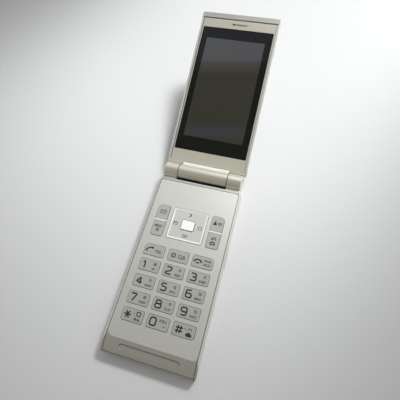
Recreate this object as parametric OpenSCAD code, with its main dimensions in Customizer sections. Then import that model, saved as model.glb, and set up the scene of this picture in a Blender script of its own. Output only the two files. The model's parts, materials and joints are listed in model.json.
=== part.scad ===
// Flip phone, open on its flat back. Millimetres, +Z up, lid towards +Y.
// The origin is on the back face, midway along the base. The layout is drawn with y
// counted from the chin end of the base, and base_place() moves it to the origin.

/* [Base] */
// Width of the base
body_w = 50.3; // [49.5:0.1:51]
// Height of the keypad surface over the back face
base_h = 8.2; // [8:0.1:9]
// Distance of the base's rear end from the chin end
rear_y = 100.2; // [99.8:0.1:100.4]
// Height of the front case's lower edge
parting_z = 4.6; // [4.5:0.1:4.8]
// Wall thickness of the cases
wall = 0.95; // [0.8:0.05:1.1]
// Radius of the rear case's long bottom edges
belly_r = 1.8; // [1:0.1:1.8]
// Length of the sloped chin
chin_len = 7.8; // [7:0.1:8.5]
// Radius of the chin's curved slope
chin_r = 23.3; // [20:0.1:26]

/* [Keypad] */
// Width of the keypad panel
panel_w = 47.6; // [46.5:0.1:48]
// Rear edge of the keypad panel, from the chin end
panel_y = 98.6; // [98:0.1:99]
// Thickness of the keypad panel
panel_t = 0.8; // [0.6:0.1:1]
// Width of a number key
key_w = 11.3; // [10:0.1:12]
// Height of a number key, along the phone
key_h = 6.2; // [5.5:0.1:6.5]
// Distance between key columns
column_pitch = 13.8; // [13.5:0.1:14]
// How far a key stands over the panel
key_rise = 0.28; // [0.1:0.02:0.3]
// Gap round each key
key_gap = 0.2; // [0.15:0.05:0.25]
// Width of the four-way ring
ring_w = 20.4; // [19:0.1:21]
// Height of the four-way ring, along the phone
ring_h = 18.5; // [17:0.1:19]
// Width of a soft key
soft_w = 6.9; // [6:0.1:7]
// Distance of the soft keys from the middle line
soft_x = 16.2; // [16:0.1:16.5]

/* [Hinge] */
// Distance of the hinge axis from the chin end
hinge_y = 106.2; // [106:0.1:107]
// Height of the hinge axis over the back face
hinge_z = 6.8; // [6.6:0.1:7]
// Radius of the barrel and knuckles
barrel_r = 5; // [4.8:0.1:5]
// Half length of the centre barrel
barrel_half = 14.9; // [14:0.1:15]
// Rise of the open lid over the horizontal, degrees
open_tilt = 18.2; // [16:0.1:20]

/* [Lid] */
// Width of the lid
lid_w = 50.5; // [50:0.1:51]
// Distance of the lid's far end from the hinge axis
lid_far = 107.9; // [107:0.1:108.5]
// Distance of the lid's near end from the hinge axis
lid_near = 5.7; // [5.6:0.1:6]
// Distance of the lid's inner face from the hinge axis
face_drop = 1.98; // [1.9:0.02:2]
// Thickness of the lid
lid_t = 5.8; // [5.6:0.1:6]
// Width of the display window
window_w = 45.7; // [44:0.1:46]
// Length of the display window
window_l = 82.7; // [80:0.1:83]

/* [Hidden] */
$fn = 48;

silver = [0.86, 0.86, 0.84];
champagne = [0.74, 0.71, 0.62];
key_grey = [0.72, 0.72, 0.70];

// Distance of the origin from the chin end, and clearances
rest_y = 50;
fit = 0.05;
eps = 0.01;
half_w = body_w / 2;
seam = 0.04;
press = 0.02;
thread_r = 0.72;
thread_l = 2.6;
through_r = 0.75;

// The rear case's rim round the front case: seam, fall towards the outside, flat top
rim_gap = 0.28;
rim_drop = 0.5;
rim_run = 1;

// Chin: where its slope ends, the ledge in front of it, the finger recess
chin_edge = 0.55;
lip_y = -0.4;
lip_z = 5.15;
chin_top_slope = 10;
recess_w = 31.9;
recess_y = [2.9, 5.75];
recess_slope = 10;
recess_z = 6.62;

// Heights in the base, from the back face up
floor_t = 0.95;
board_z = [5, 5.8];
domes_z = 5.85;
dome_h = 0.25;
key_foot_z = 6.6;
flange_z = [6.9, 7.3];
panel_z = base_h - panel_t;
ledge_z = 6.75;
room_half = 22.2;
room_y = [12, 95.5];

// Corner radii of the keys and of the panel, counter-clockwise from the chin's left end
small_r = 0.5;
top_r = 1.9;
foot_r = 1.1;
soft_outer_r = 2.5;
soft_inner_r = 1;
ring_r = 0.7;
panel_corners = [3.2, 2.2, 1.3, 1.3];

// Key rows, and the middles of the navigation block's pieces, from the chin end
call_row = 54.8;
rows = [46.2, 37.3, 28.4, 19.7];
ring_y = 73.05;
soft_y = [63.45, 72.95, 82.3];
strip_h = 0.8;
strip_rise = 0.2;
strip_gap = 0.15;
select_w = 7.4;
select_h = 5.7;
select_rise = 0.42;
ring_rise = 0.15;
ring_border = 0.4;
ring_dish = 0.15;
flange = 0.5;
plunger_r = 1;

// Hinge: axial places and shaft radii
knuckle_x = [15.3, 23.9];
pin_r = 2.95;
pin_x = [10, 22];
pin_bore_r = 1.9;
cam_r = 3.9;
cam_x = [4, 14.85];
shaft_r = 2.45;
shaft_end = 21;
running = 0.05;
flex_r = 1.5;

// Battery bay and cover
battery_size = [40, 48, 3.8];
battery_y = 9.2;
cover_w = 40;
cover_y = 62;
cover_flare = 0.5;
rib_x = 21.2;

// Side features: middle along y, length, height range
port_y = 90.3;
port_l = 7;
port_z = [2.1, 4.3];
plug_half = 4;
flap_l = 10;
flap_t = 0.56;
flap_over = 0.12;
side_key_y = 60;
side_key_l = 9;
side_key_z = [2.3, 4.1];
side_key_rise = 0.45;
contact_y = [18, 23];
camera_at = [-12, 90];
speaker_at = [11, 89];
screw_at = [[22.2, 4.5], [-22.2, 4.5], [22.2, 96.2], [-22.2, 96.2]];

// Lid depths are counted from the inner face outwards
rim_rise = 0.15;
lid_part = 3.4;
lid_floor = [0.5, 1.1];
lid_panel_w = 47.6;
lid_panel_v = [7.5, 103.75];
lid_panel_t = 0.45;
lid_gap = 0.12;
lid_groove = 0.7;
foot_v = 8.3;
window_v = 15.05;
lid_back_r = 1.8;
lcd_v = [19.2, 93.4];
ear_v = 100.7;
groove_u = [-5.6, 5.4];
dot_u = -3.5;
lid_screw_at = [[21.9, 11], [-21.9, 11], [21.9, 100.7], [-21.9, 100.7]];
neck_v = 7;
neck_half = 14.6;
neck_w = -1.6;
crest_r = 1.6;
crest_run = 1.05;
tongue_v = 14;
lid_wall = 1.1;
lid_end_wall = [1.6, 1.2];

// ---- shapes shared by the pieces ----

module base_place() { translate([0, -rest_y, 0]) children(); }

module lid_place() {
    translate([0, hinge_y - rest_y, hinge_z]) rotate([open_tilt, 0, 0]) children();
}

module box(a, b) { translate(a) cube(b - a); }

// The same radius at all four corners
function even(r) = [r, r, r, r];

// Rectangle from a to b, with its own radius at each corner, counter-clockwise from a
module plate(a, b, r) {
    corner = [a, [b.x, a.y], b, [a.x, b.y]];
    inward = [[1, 1], [-1, 1], [-1, -1], [1, -1]];
    polygon([for (i = [0:3]) for (j = [0:1]) let (k = (i + j) % 2)
        corner[i] + [k * inward[i].x * r[i], (1 - k) * inward[i].y * r[i]]]);
    for (i = [0:3])
        translate(corner[i] + [inward[i].x * r[i], inward[i].y * r[i]]) circle(r = r[i]);
}

module slab(a, b, r, z) {
    translate([0, 0, z[0]]) linear_extrude(z[1] - z[0]) plate(a, b, r);
}

// Outline in (y, z), swept along x
module along_x(x) { translate([x[0], 0, 0]) rotate([90, 0, 90]) linear_extrude(x[1] - x[0]) children(); }

// Outline in (x, z), swept along y
module along_y(y) { translate([0, y[1], 0]) rotate([90, 0, 0]) linear_extrude(y[1] - y[0]) children(); }

module rod_x(r, x) { translate([x[0], 0, 0]) rotate([0, 90, 0]) cylinder(r = r, h = x[1] - x[0]); }

module at_hinge() { translate([0, hinge_y, hinge_z]) children(); }

// Block with rounded upright corners, and rounded long and end edges below and above
module shell_block(half, y, z, corner_r, low_r, high_r) {
    intersection() {
        slab([-half, y[0]], [half, y[1]], corner_r, z);
        along_y(y) plate([-half, z[0]], [half, z[1]], [low_r, low_r, high_r, high_r]);
        along_x([-half, half]) plate([y[0], z[0]], [y[1], z[1]], [low_r, low_r, high_r, high_r]);
    }
}

// ---- base: cases and covers ----

// Everything above the chin's curved slope
module above_chin() {
    along_x([-half_w - 1, half_w + 1]) difference() {
        translate([lip_y - 1, parting_z]) square([chin_len - lip_y + 1, base_h]);
        translate([chin_len + chin_r * sin(chin_top_slope), base_h - chin_r * cos(chin_top_slope)])
            circle(r = chin_r, $fn = 96);
    }
}

// Room for the front case inside the rear case's rim
module front_room() {
    slab([-panel_w / 2 - rim_gap, lip_y - 5], [panel_w / 2 + rim_gap, panel_y + rim_gap],
        even(1.3), [parting_z - seam, base_h + 1]);
}

// Long shallow finger recess, deepest at its upper edge
module finger_recess() {
    r = (recess_y[1] - recess_y[0]) / 2;
    mid = (recess_y[0] + recess_y[1]) / 2;
    intersection() {
        translate([0, 0, parting_z]) linear_extrude(base_h) {
            translate([-recess_w / 2 + r, recess_y[0]]) square([recess_w - 2 * r, 2 * r]);
            for (s = [-1, 1]) translate([s * (recess_w / 2 - r), mid]) circle(r = r);
        }
        translate([0, recess_y[0], recess_z]) rotate([recess_slope, 0, 0])
            translate([-recess_w / 2, -1, 0]) cube([recess_w, 6, 4]);
    }
}

// Arms that cradle the knuckles
module arms(outline) {
    for (s = [0, 1]) mirror([s, 0, 0]) along_x([knuckle_x[0] + 0.1, knuckle_x[1] - 0.3])
        polygon(outline);
}

module knuckle_seats() {
    for (s = [0, 1]) mirror([s, 0, 0]) at_hinge()
        rod_x(barrel_r + fit, [knuckle_x[0] - 0.5, knuckle_x[1] + 0.5]);
}

module front_case() {
    color(silver) base_place() difference() {
        slab([-panel_w / 2, lip_y], [panel_w / 2, panel_y], [0.3, 0.3, 1.3, 1.3], [parting_z, base_h]);
        above_chin();
        box([-half_w, lip_y - 1, lip_z], [half_w, chin_edge, base_h + 1]);
        finger_recess();
        slab([-panel_w / 2 - fit, chin_len - fit], [panel_w / 2 + fit, panel_y + fit], panel_corners,
            [panel_z - fit, base_h + 1]);
        box([-room_half, room_y[0], ledge_z - 1], [room_half, room_y[1], panel_z + eps]);
        box([-panel_w / 2 + wall, 9, parting_z - 1], [panel_w / 2 - wall, panel_y - 1, ledge_z]);
        box([-panel_w / 2 + wall, 1.6, parting_z - 1], [panel_w / 2 - wall, 9.5, parting_z + 0.4]);
        box([-half_w, port_y - plug_half - 0.2, parting_z - 1],
            [-panel_w / 2 + wall + 1, port_y + plug_half + 0.2, board_z[0] + 0.1]);
        for (p = screw_at) translate([p.x, p.y, parting_z - 1]) cylinder(r = thread_r, h = thread_l);
    }
    color(silver) base_place() for (p = screw_at)
        translate([p.x, p.y, parting_z]) difference() {
            cylinder(r = 1.5, h = (p.y > 9 ? ledge_z : parting_z + 0.4) - parting_z + eps);
            translate([0, 0, -1]) cylinder(r = thread_r, h = thread_l);
        }
}

// Dovetail of the battery cover, opened by a gap
module cover_outline(gap) {
    w = cover_w / 2 + gap;
    polygon([[-w, -1], [w, -1], [w, 0], [w + cover_flare, floor_t + gap],
        [-w - cover_flare, floor_t + gap], [-w, 0]]);
}

// Outer shape of the rear case: rounded below, its rim falling outwards above
module rear_block() {
    intersection() {
        shell_block(half_w, [lip_y, rear_y], [0, base_h + 1], [1.5, 1.5, 1, 1], belly_r, 0.2);
        along_y([lip_y, rear_y]) polygon([[-half_w, 0], [half_w, 0], [half_w, base_h - rim_drop],
            [half_w - rim_run, base_h], [-half_w + rim_run, base_h], [-half_w, base_h - rim_drop]]);
    }
}

module rear_case() {
    color(silver) base_place() difference() {
        union() {
            rear_block();
            arms([[rear_y - 1, 0.4], [rear_y + 0.6, 0.4], [hinge_y, 1.4],
                [hinge_y, base_h - 0.1], [rear_y - 1, base_h - 0.1]]);
        }
        above_chin();
        front_room();
        knuckle_seats();
        difference() {
            box([-half_w + wall, lip_y + wall, floor_t], [half_w - wall, rear_y - 1, parting_z]);
            for (p = screw_at) translate([p.x, p.y, 0]) cylinder(r = 1.6, h = parting_z);
            for (s = [-1, 1]) box([s * rib_x - 0.4, battery_y - 1, 0], [s * rib_x + 0.4, cover_y - 2, 3.4]);
        }
        along_y([lip_y - 1, cover_y + 0.1]) cover_outline(0.1);
        translate([camera_at.x, camera_at.y, -1]) cylinder(r = 4.05, h = 3);
        for (i = [-2:2]) box([speaker_at.x + i * 1.6 - 0.35, speaker_at.y - 3.5, -1],
            [speaker_at.x + i * 1.6 + 0.35, speaker_at.y + 3.5, 2]);
        for (p = screw_at) translate([p.x, p.y, -1]) {
            cylinder(r = 1.35, h = 1.75);
            cylinder(r = through_r, h = parting_z + 2);
        }
        port_openings();
        box([half_w - wall - 1, side_key_y - side_key_l / 2 - 0.1, side_key_z[0] - 0.1],
            [half_w + 1, side_key_y + side_key_l / 2 + 0.1, side_key_z[1] + 0.1]);
        for (y = contact_y) box([-half_w - 1, y - 1.1, 2.4], [-half_w + wall + 1, y + 1.1, 3.8]);
    }
}

// Side opening of the connector and the flap's recess round it
module port_openings() {
    box([-half_w - 1, port_y - port_l / 2, port_z[0]],
        [-half_w + wall + 1, port_y + port_l / 2, port_z[1]]);
    box([-half_w - 1, port_y - flap_l / 2 - 0.1, port_z[0] - 0.2],
        [-half_w + flap_t + 0.1, port_y + flap_l / 2 + 0.1, port_z[1] + 0.2]);
}

module port_cover() {
    r = flap_t / 2;
    pivot = port_y + flap_l / 2 - r;
    color(silver) base_place() {
        box([-half_w, port_y - flap_l / 2, port_z[0] - flap_over],
            [-half_w + flap_t, pivot, port_z[1] + flap_over]);
        translate([-half_w + r, pivot, port_z[0] - flap_over])
            cylinder(r = r, h = port_z[1] - port_z[0] + 2 * flap_over);
    }
}

module battery_cover() {
    color(silver) base_place() difference() {
        intersection() {
            rear_block();
            along_y([lip_y, cover_y]) cover_outline(0);
        }
        for (i = [0:2]) slab([-6, cover_y - 5 - i * 1.6], [6, cover_y - 4.2 - i * 1.6],
            even(0.35), [-1, 0.25]);
    }
}

module keypad_panel() {
    color([0.88, 0.88, 0.86]) base_place() translate([0, 0, panel_z]) linear_extrude(panel_t)
        difference() {
            plate([-panel_w / 2, chin_len], [panel_w / 2, panel_y], panel_corners);
            for (c = [-1:1]) for (y = concat([call_row], rows))
                key_plate([c * column_pitch, y], [key_w, key_h], number_corners(c, y), key_gap);
            key_plate([0, ring_y], [ring_w, ring_h], even(ring_r), key_gap);
            for (s = [-1, 1]) key_plate([s * soft_x, (soft_y[0] + soft_y[2]) / 2],
                [soft_w, soft_y[2] - soft_y[0]], soft_corners(s), key_gap);
        }
}

module divider_strips() {
    color("white") base_place() for (s = [-1, 1])
        box([s * soft_x - soft_w / 2 - key_gap + eps, soft_y[1] - strip_h / 2, panel_z],
            [s * soft_x + soft_w / 2 + key_gap - eps, soft_y[1] + strip_h / 2, base_h + strip_rise]);
}

// ---- base: keys ----

// Corner radii of a number key: the block's four outer corners are rounder
function number_corners(c, y) = [
    c == -1 && y == rows[3] ? foot_r : small_r,
    c == 1 && y == rows[3] ? foot_r : small_r,
    c == 1 && y == call_row ? top_r : small_r,
    c == -1 && y == call_row ? top_r : small_r];

function soft_corners(s) = [foot_r, foot_r, s > 0 ? soft_outer_r : soft_inner_r,
    s < 0 ? soft_outer_r : soft_inner_r];

module key_plate(at, size, r, grow) {
    plate(at - size / 2 - [grow, grow], at + size / 2 + [grow, grow], [for (v = r) v + grow]);
}

// Key cap with its retaining flange under the panel and the plunger over its dome
module key(at, size, r, top, plunger_at) {
    color(key_grey) base_place() {
        translate([0, 0, flange_z[0]]) linear_extrude(top - flange_z[0]) key_plate(at, size, r, 0);
        translate([0, 0, flange_z[0]]) linear_extrude(flange_z[1] - flange_z[0])
            key_plate(at, size, r, flange);
        translate([plunger_at.x, plunger_at.y, key_foot_z])
            cylinder(r = plunger_r, h = flange_z[0] - key_foot_z + eps);
    }
}

module number_key(c, y) {
    at = [c * column_pitch, y];
    key(at, [key_w, key_h], number_corners(c, y), base_h + key_rise, at);
}

// Soft key of side s; half 0 is nearer the chin, 1 nearer the hinge
module soft_key(s, half) {
    low = soft_y[half] + half * (strip_h / 2 + strip_gap);
    high = soft_y[half + 1] - (1 - half) * (strip_h / 2 + strip_gap);
    at = [s * soft_x, (low + high) / 2];
    size = [soft_w, high - low];
    outer = soft_corners(s);
    r = half == 1 ? [small_r, small_r, outer[2], outer[3]] : [outer[0], outer[1], small_r, small_r];
    color(key_grey) base_place() {
        translate([0, 0, flange_z[0]]) linear_extrude(base_h + key_rise - flange_z[0])
            key_plate(at, size, r, 0);
        translate([0, 0, flange_z[0]]) linear_extrude(flange_z[1] - flange_z[0])
            plate([at.x - soft_w / 2 - flange, low - (1 - half) * flange],
                [at.x + soft_w / 2 + flange, high + half * flange], even(0.5));
        translate([at.x, at.y, key_foot_z]) cylinder(r = plunger_r, h = flange_z[0] - key_foot_z + eps);
    }
}

module direction_key() {
    color(key_grey) base_place() difference() {
        union() {
            translate([0, 0, ledge_z]) linear_extrude(base_h + ring_rise - ledge_z)
                key_plate([0, ring_y], [ring_w, ring_h], even(ring_r), 0);
            translate([0, 0, ledge_z]) linear_extrude(0.2)
                key_plate([0, ring_y], [ring_w, ring_h], even(ring_r), 0.6);
        }
        translate([0, 0, base_h + ring_rise - ring_dish]) linear_extrude(1)
            key_plate([0, ring_y], [ring_w, ring_h], even(ring_r), -ring_border);
        translate([0, 0, ledge_z - 1]) linear_extrude(base_h)
            key_plate([0, ring_y], [select_w, select_h], even(ring_r), 0.35);
    }
}

module select_key() {
    at = [0, ring_y];
    color("white") base_place() {
        translate([0, 0, key_foot_z]) linear_extrude(base_h + select_rise - key_foot_z)
            key_plate(at, [select_w, select_h], even(0.5), 0);
    }
}

// Gimbal frame under the four-way ring, round the select key
module rocker_plate() {
    color("dimgray") base_place() translate([0, 0, key_foot_z - 0.25]) linear_extrude(0.25)
        difference() {
            key_plate([0, ring_y], [10.4, 8.6], even(ring_r), 0);
            key_plate([0, ring_y], [select_w, select_h], even(ring_r), 0.5);
        }
}

module key_mail() soft_key(-1, 1);
module key_menu() soft_key(-1, 0);
module key_address() soft_key(1, 1);
module key_camera() soft_key(1, 0);
module key_call() number_key(-1, call_row);
module key_clear() number_key(0, call_row);
module key_end() number_key(1, call_row);
module key_1() number_key(-1, rows[0]);
module key_2() number_key(0, rows[0]);
module key_3() number_key(1, rows[0]);
module key_4() number_key(-1, rows[1]);
module key_5() number_key(0, rows[1]);
module key_6() number_key(1, rows[1]);
module key_7() number_key(-1, rows[2]);
module key_8() number_key(0, rows[2]);
module key_9() number_key(1, rows[2]);
module key_star() number_key(-1, rows[3]);
module key_0() number_key(0, rows[3]);
module key_hash() number_key(1, rows[3]);

module side_key() {
    low = side_key_y - side_key_l / 2;
    high = side_key_y + side_key_l / 2;
    color(silver) base_place() {
        box([half_w - wall - 0.2, low, side_key_z[0]], [half_w + side_key_rise, high, side_key_z[1]]);
        box([half_w - wall - 0.6, low - 0.6, side_key_z[0] - 0.4],
            [half_w - wall - 0.1, high + 0.6, side_key_z[1] + 0.4]);
    }
}

// ---- base: inside ----

// Middles of all the domes, in the same order as the keys
function dome_places() = concat(
    [for (y = concat([call_row], rows)) for (c = [-1:1]) [c * column_pitch, y]],
    [for (s = [-1, 1]) for (h = [0, 1])
        [s * soft_x, (soft_y[h] + soft_y[h + 1]) / 2 + (h - 0.5) * (strip_h / 2 + strip_gap)]],
    [[0, ring_y], [7.9, ring_y], [-7.9, ring_y], [0, ring_y + 7], [0, ring_y - 7]]);

module dome_sheet() {
    color("khaki") base_place() {
        box([-20.2, 15, domes_z], [20.2, 85, domes_z + 0.2]);
        for (p = dome_places()) translate([p.x, p.y, domes_z + 0.2 - eps])
            cylinder(r1 = 1.9, r2 = 1.1, h = dome_h + eps);
    }
}

module main_board() {
    color("darkgreen") base_place() difference() {
        box([-20.3, 9.6, board_z[0]], [20.3, panel_y - 1.2, board_z[1]]);
        translate([17.3, 95, board_z[0] - 1]) cylinder(r = 0.8, h = 3);
    }
}

module shield_can() {
    color("silver") base_place() difference() {
        box([-3, 64, 3.2], [16.5, 82, board_z[0] - fit]);
        box([-2.8, 64.2, 3.4], [16.3, 81.8, board_z[0] + 1]);
    }
}

module card_reader() {
    color("gray") base_place() difference() {
        box([-20, 64.5, 2.9], [-5, 81, board_z[0] - fit]);
        box([-19, 63, 3.2], [-6, 80, 3.9]);
        box([-18, 63, 4.2], [-7, 80, 4.7]);
    }
}

module battery() {
    z = floor_t + 0.1;
    color("black") base_place() slab([-battery_size.x / 2, battery_y],
        [battery_size.x / 2, battery_y + battery_size.y], even(1), [z, z + battery_size.z]);
}

module battery_contacts() {
    color("gold") base_place() for (x = [-6, 0, 6])
        box([x - 0.8, battery_y + battery_size.y + fit, 1.5],
            [x + 0.8, battery_y + battery_size.y + 2, board_z[0] - fit]);
}

module camera_module() {
    color("dimgray") base_place() translate([camera_at.x, camera_at.y, 0]) {
        translate([0, 0, 1.3]) cylinder(r = 3, h = 1.5);
        box([-4, -4, 2.7], [4, 4, board_z[0] - fit]);
    }
}

module camera_window() {
    color("black") base_place() translate([camera_at.x, camera_at.y, 0.1])
        cylinder(r = 4, h = 0.8);
}

module vibration_motor() {
    color("silver") base_place() translate([20.4, 68, 3.1]) rotate([-90, 0, 0]) {
        cylinder(r = 1.8, h = 9);
        translate([0, 0, 9 - eps]) cylinder(r = 0.4, h = 1);
        intersection() {
            translate([0, 0, 10 - 2 * eps]) cylinder(r = 1.7, h = 3);
            translate([-2, -0.4, 9]) cube([4, 2.4, 6]);
        }
    }
}

module loudspeaker() {
    color("dimgray") base_place() translate([speaker_at.x, speaker_at.y, floor_t + 0.1])
        linear_extrude(3) plate([-6, -4.5], [6, 4.5], even(3));
}

module microphone() {
    color("silver") base_place() translate([9, 4.6, 3.2]) cylinder(r = 1.6, h = 1.5);
}

module antenna() {
    color("goldenrod") base_place() difference() {
        box([-20, 1.2, 1.6], [4, 6.6, 4.4]);
        box([-19.4, 2, 0], [3.4, 8, 3.8]);
    }
}

module io_connector() {
    color("silver") base_place() difference() {
        box([-panel_w / 2 - 0.1, port_y - plug_half, 1.9],
            [-half_w + wall + 6, port_y + plug_half, board_z[0] - fit]);
        box([-half_w, port_y - plug_half + 0.6, 2.2], [-half_w + wall + 5, port_y + plug_half - 0.6, 4.2]);
    }
}

module charge_contacts() {
    color("gold") base_place() for (y = contact_y)
        box([-half_w + 0.05, y - 1, 2.5], [-half_w + wall + 0.5, y + 1, 3.7]);
}

module case_screws() {
    color("gray") base_place() for (p = screw_at) translate([p.x, p.y, 0.2]) difference() {
        union() {
            cylinder(r = 1.25, h = 0.5);
            cylinder(r = 0.68, h = p.y > 9 ? 5.6 : 5);
        }
        box([-0.7, -0.12, -1], [0.7, 0.12, 0.25]);
        box([-0.12, -0.7, -1], [0.12, 0.7, 0.25]);
    }
}

// ---- hinge ----

// Outer knuckle of the base on side +x, closed at its outer end
module knuckle(bore_r) {
    base_place() at_hinge() difference() {
        union() {
            rod_x(barrel_r, [knuckle_x[0], knuckle_x[1] - 0.5]);
            translate([knuckle_x[1] - 0.5 - eps, 0, 0]) rotate([0, 90, 0])
                cylinder(r1 = barrel_r, r2 = barrel_r - 0.5, h = 0.5);
        }
        rod_x(bore_r, [knuckle_x[0] - 1, knuckle_x[1] - 1.2]);
    }
}

module knuckle_left() { color(champagne) mirror([1, 0, 0]) knuckle(pin_r + press); }

module knuckle_right() { color(champagne) knuckle(cam_r + press); }

// Spring and cam cartridge in the right knuckle; the lid's cam shaft turns in its bore
module hinge_unit() {
    color("gray") base_place() at_hinge() difference() {
        rod_x(cam_r, [knuckle_x[0] + 0.1, knuckle_x[1] - 1.3]);
        rod_x(shaft_r + running, [knuckle_x[0] - 1, shaft_end + 0.2]);
    }
}

// Hollow pivot in the left knuckle; the lid's barrel turns on it
module hinge_pin() {
    color("gray") base_place() at_hinge() difference() {
        rod_x(pin_r, [-pin_x[1], -pin_x[0]]);
        rod_x(pin_bore_r, [-pin_x[1] - 1, -pin_x[0] + 1]);
    }
}

module hinge_cam() {
    color("silver") lid_place() {
        rod_x(cam_r, cam_x);
        rod_x(shaft_r, [cam_x[1] - eps, shaft_end]);
    }
}

// Flat cable's run, in (v, w): from its roll on the hinge axis into the lid
module flex_run(t) {
    polygon([[0, -flex_r + 0.12 + t], [neck_v, -3.25 + t], [lcd_v[0] - 0.2, -3.25 + t],
        [lcd_v[0] - 0.2, -3.35 - t], [neck_v, -3.35 - t], [0, -flex_r - t]]);
}

module flex_cable() {
    color("orange") lid_place() {
        difference() {
            rod_x(flex_r, [-20, -4]);
            rod_x(flex_r - 0.3, [-21, -3]);
        }
        along_x([-9.4, -4]) difference() {
            flex_run(0);
            circle(r = flex_r - 0.15);
        }
    }
}

// Neck between the barrel and the lid, its crest rounded down to the lid's face
module neck_outline() {
    difference() {
        translate([2.5, -6.4]) square([neck_v - 2.5, neck_w + 6.4]);
        difference() {
            translate([neck_v - crest_run, -face_drop]) square([crest_run + 1, 1]);
            translate([neck_v - crest_run, neck_w - crest_r]) circle(r = crest_r, $fn = 96);
        }
    }
}

module hinge_barrel() {
    color(champagne) lid_place() difference() {
        union() {
            rod_x(barrel_r, [-barrel_half, barrel_half]);
            along_x([-neck_half, neck_half]) neck_outline();
            box([-neck_half + 0.6, neck_v - eps, -5.2], [neck_half - 0.6, tongue_v, -3.2]);
        }
        rod_x(pin_r + running, [-barrel_half - 1, -3.6]);
        rod_x(cam_r + press, [cam_x[0] - 0.1, barrel_half + 1]);
        along_x([-9.6, -3.8]) flex_run(0.2);
    }
}

// ---- lid ----

function lid_z(d) = -face_drop - d;

module lid_block(depth, low_r, high_r) {
    shell_block(lid_w / 2, [lid_near, lid_far], [lid_z(depth[1]), lid_z(depth[0])],
        [0.8, 0.8, 1.2, 1.2], low_r, high_r);
}

module lid_box(a, b, depth) { box([a.x, a.y, lid_z(depth[1])], [b.x, b.y, lid_z(depth[0])]); }

// Room for the hinge's neck in the lid's near end
module neck_room(depth) {
    lid_box([-neck_half - 0.15, lid_near - 1], [neck_half + 0.15, neck_v + 0.15], depth);
}

module lid_frame() {
    color(silver) lid_place() difference() {
        lid_block([-rim_rise, lid_part], 0.2, 0.35);
        slab([-lid_panel_w / 2 - lid_gap, lid_panel_v[0] - fit],
            [lid_panel_w / 2 + lid_gap, lid_panel_v[1] + lid_groove], even(0.5), [lid_z(lid_floor[0]), 1]);
        lid_box([-lid_w, lid_near - 1], [lid_w, foot_v + lid_gap], [-1, lid_floor[0]]);
        lid_box([-lid_w / 2 + lid_wall, lid_near + lid_end_wall[0]],
            [lid_w / 2 - lid_wall, lid_far - lid_end_wall[1]], [lid_floor[1], lid_part + 1]);
        lid_box([-19.3, 23], [19.3, 91.6], [0, 2]);
        neck_room([-1, lid_part + 1]);
        lid_box([-neck_half, lid_near], [neck_half, lid_near + 2], [lid_floor[1], lid_part + 1]);
        translate([0, ear_v, lid_z(2)]) cylinder(r = 3.1, h = 3);
        for (p = lid_screw_at) translate([p.x, p.y, lid_z(1.01)]) {
            cylinder(r = 1.3, h = 2);
            translate([0, 0, -1]) cylinder(r = through_r, h = 2);
        }
    }
}

// Plate round the display; its foot runs the whole width of the lid's near end
module lid_panel() {
    color(champagne) lid_place() difference() {
        union() {
            slab([-lid_panel_w / 2, lid_panel_v[0]], [lid_panel_w / 2, lid_panel_v[1]], even(0.45),
                [lid_z(lid_panel_t), lid_z(0)]);
            intersection() {
                lid_block([0, lid_panel_t], 0.02, 0.35);
                lid_box([-lid_w, lid_near], [lid_w, foot_v], [-1, 1]);
            }
        }
        neck_room([-1, 1]);
        slab([-window_w / 2 - fit, window_v - fit], [window_w / 2 + fit, window_v + window_l + fit],
            even(0.6), [lid_z(1), lid_z(-1)]);
        slab([groove_u[0], ear_v - 0.65], [groove_u[1], ear_v + 0.65], even(0.6), [lid_z(0.2), lid_z(-1)]);
        lid_box([-2.2, ear_v - 0.2], [groove_u[1] - 1, ear_v + 0.2], [-1, 1]);
        translate([dot_u, ear_v, lid_z(1)]) cylinder(r = 0.65, h = 2);
    }
}

module display_window() {
    color([0.12, 0.12, 0.12]) lid_place()
        slab([-window_w / 2, window_v], [window_w / 2, window_v + window_l],
            even(0.55), [lid_z(lid_panel_t), lid_z(0)]);
}

module lcd_module() {
    color("dimgray") lid_place() lid_box([-20.3, lcd_v[0]], [20.3, lcd_v[1]], [1.15, 2.9]);
}

module lid_cover() {
    color(silver) lid_place() {
        difference() {
            lid_block([lid_part + seam, lid_t], lid_back_r, 0.2);
            lid_box([-lid_w / 2 + lid_wall, lid_near + lid_end_wall[0]],
                [lid_w / 2 - lid_wall, lid_far - lid_end_wall[1]], [0, lid_t - 1]);
            neck_room([0, 4.6]);
        }
        for (p = lid_screw_at) translate([p.x, p.y, lid_z(lid_t - 0.9)]) difference() {
            cylinder(r = 1.4, h = lid_t - 0.9 - lid_floor[1] - fit);
            translate([0, 0, 0.6]) cylinder(r = through_r, h = lid_t);
        }
    }
}

module earpiece() {
    color("dimgray") lid_place() translate([0, ear_v, lid_z(2.8)])
        cylinder(r = 3, h = 2.8 - lid_floor[0] - fit);
}

module light_sensor() {
    color("black") lid_place() translate([dot_u, ear_v, lid_z(0.4)]) cylinder(r = 0.6, h = 0.25);
}

module lid_magnet() {
    color("silver") lid_place() lid_box([15, 97.5], [18.6, 103], [1.2, 3.2]);
}

module lid_screws() {
    color("gray") lid_place() for (p = lid_screw_at) translate([p.x, p.y, 0]) difference() {
        union() {
            translate([0, 0, lid_z(1)]) cylinder(r = 1.2, h = 0.45);
            translate([0, 0, lid_z(4)]) cylinder(r = 0.68, h = 3.1);
        }
        box([-0.7, -0.12, lid_z(0.8)], [0.7, 0.12, lid_z(0)]);
        box([-0.12, -0.7, lid_z(0.8)], [0.12, 0.7, lid_z(0)]);
    }
}

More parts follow.
